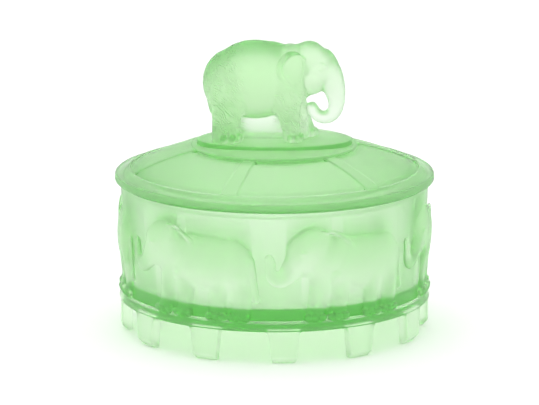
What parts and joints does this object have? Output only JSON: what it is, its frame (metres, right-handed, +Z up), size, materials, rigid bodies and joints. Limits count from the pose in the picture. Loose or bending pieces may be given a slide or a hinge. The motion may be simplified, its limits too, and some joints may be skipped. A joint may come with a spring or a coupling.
{
  "type": "powder jar",
  "caption": "Round pressed-glass powder jar on lug feet, with a parade of elephants in low relief and a lift-off lid whose knob is a standing elephant.",
  "frame": {"origin": "on the jar's vertical axis, on the surface that the feet stand on", "axes": "+Z up along the jar's axis; +X the way the lid's elephant faces; -Y the jar's front"},
  "size_m": [0.14, 0.14, 0.1283],
  "materials": {
    "jar_glass": "satin, acid-frosted",
    "lid_glass": "satin, acid-frosted"
  },
  "bodies": {
    "jar": {"jar": "jar_glass"},
    "lid": {"lid": "lid_glass"}
  },
  "joints": [
    {"name": "lid_lift", "type": "slide", "parent": "jar", "child": "lid", "axis": [0, 0, 1], "range_m": [0, 0.12]}
  ]
}
